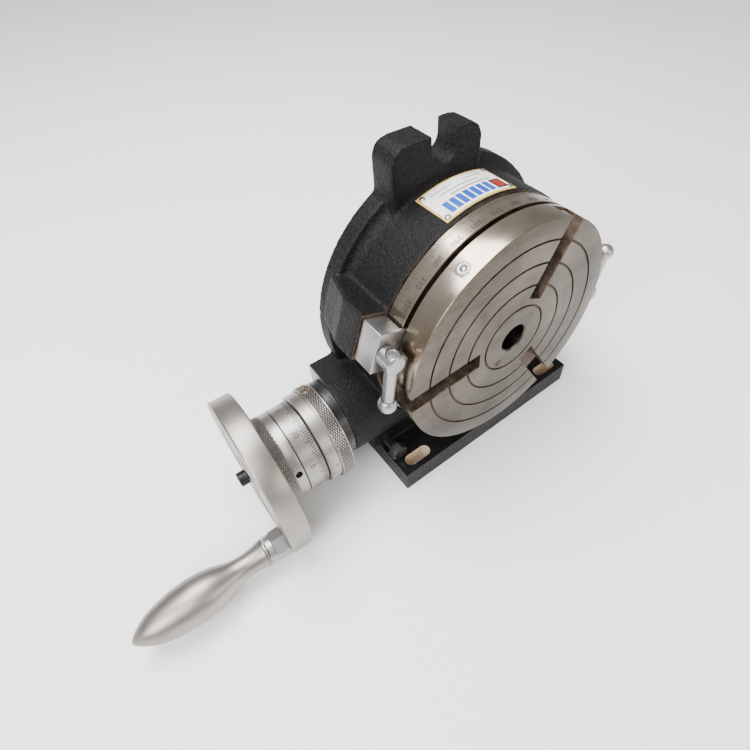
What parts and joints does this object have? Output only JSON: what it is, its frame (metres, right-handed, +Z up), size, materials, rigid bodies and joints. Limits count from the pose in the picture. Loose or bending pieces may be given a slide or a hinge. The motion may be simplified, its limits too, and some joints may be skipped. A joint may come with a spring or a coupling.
{
  "type": "rotary table",
  "caption": "Horizontal and vertical rotary table on its foot: slotted round faceplate, worm drive with crank and dials, rim clamps with ball levers.",
  "frame": {"origin": "middle of the foot's underside, on the surface that the table stands on", "axes": "-Y out of the table's face, +Z up along the vertical foot, -X along the worm towards the crank; metres"},
  "size_m": [0.3392, 0.0953, 0.2],
  "materials": {
    "casting": "wrinkle black paint on cast iron",
    "ground_iron": "ground, with bright rim",
    "satin_chrome": "satin chromed steel",
    "satin_alloy": "satin",
    "steel": "turned",
    "black_steel": "blackened",
    "bronze": "turned",
    "plate": "printed plate"
  },
  "bodies": {
    "base": {"base_casting": "casting", "spindle_bush": "bronze", "thrust_ring": "bronze", "rear_cover": "black_steel", "nameplate": "plate", "clamp_block_left": "steel", "clamp_block_right": "steel", "nameplate_rivet_1": "steel", "nameplate_rivet_2": "steel", "nameplate_rivet_3": "steel", "nameplate_rivet_4": "steel"},
    "table": {"table_platen": "ground_iron", "worm_wheel": "bronze", "spindle_retaining_nut": "steel", "worm_wheel_screw_1": "black_steel", "worm_wheel_screw_2": "black_steel", "worm_wheel_screw_3": "black_steel", "rim_oiler": "steel", "face_oiler": "steel"},
    "sleeve": {"eccentric_sleeve": "black_steel", "worm_rear_bush": "bronze", "worm_front_bush": "bronze", "vernier_collar": "satin_chrome", "vernier_screw": "bronze"},
    "worm": {"worm_shaft": "steel", "dial_carrier": "steel", "crank_arm": "satin_alloy", "crank_key": "steel", "crank_cap_screw": "black_steel", "handle_bolt": "steel"},
    "dial": {"dial": "satin_chrome"},
    "lock_ring": {"dial_lock_ring": "satin_chrome", "lock_ring_screw": "black_steel"},
    "grip": {"handle_grip": "satin_alloy"},
    "sleeve_bolt": {"sleeve_clamp_bolt": "black_steel"},
    "clamp_lever_left": {"clamp_screw_left": "steel", "clamp_rod_left": "steel", "clamp_ball_left": "steel"},
    "clamp_lever_right": {"clamp_screw_right": "steel", "clamp_rod_right": "steel", "clamp_ball_right": "steel"}
  },
  "joints": [
    {"name": "table_spin", "type": "hinge", "parent": "base", "child": "table", "pos_m": [0, -0.041, 0.1], "axis": [0, -1, 0], "continuous": true},
    {"name": "sleeve_turn", "type": "hinge", "parent": "base", "child": "sleeve", "pos_m": [-0.096, 0.011, 0.0515], "axis": [1, 0, 0], "range_deg": [0, 63]},
    {"name": "worm_spin", "type": "hinge", "parent": "sleeve", "child": "worm", "pos_m": [-0.12, 0.007, 0.0495], "axis": [-1, 0, 0], "continuous": true},
    {"name": "dial_zero", "type": "hinge", "parent": "worm", "child": "dial", "pos_m": [-0.125, 0.007, 0.0495], "axis": [-1, 0, 0], "continuous": true},
    {"name": "lock_ring_turn", "type": "hinge", "parent": "worm", "child": "lock_ring", "pos_m": [-0.137, 0.007, 0.0495], "axis": [-1, 0, 0], "range_deg": [0, 90]},
    {"name": "grip_spin", "type": "hinge", "parent": "worm", "child": "grip", "pos_m": [-0.2, -0.02411, 0.01839], "axis": [-1, 0, 0], "continuous": true},
    {"name": "sleeve_bolt_turn", "type": "hinge", "parent": "base", "child": "sleeve_bolt", "pos_m": [-0.072, -0.0245, 0.0255], "axis": [0, -1, 0], "range_deg": [0, 90]},
    {"name": "clamp_lever_turn_left", "type": "hinge", "parent": "base", "child": "clamp_lever_left", "pos_m": [-0.07918, -0.032, 0.12804], "axis": [0, -1, 0], "range_deg": [-90, 0]},
    {"name": "clamp_lever_turn_right", "type": "hinge", "parent": "base", "child": "clamp_lever_right", "pos_m": [0.08246, -0.032, 0.08397], "axis": [0, -1, 0], "range_deg": [-90, 0]}
  ],
  "couplings": [
    {"joint": "table_spin", "follows": "worm_spin", "ratio": 0.011111}
  ]
}
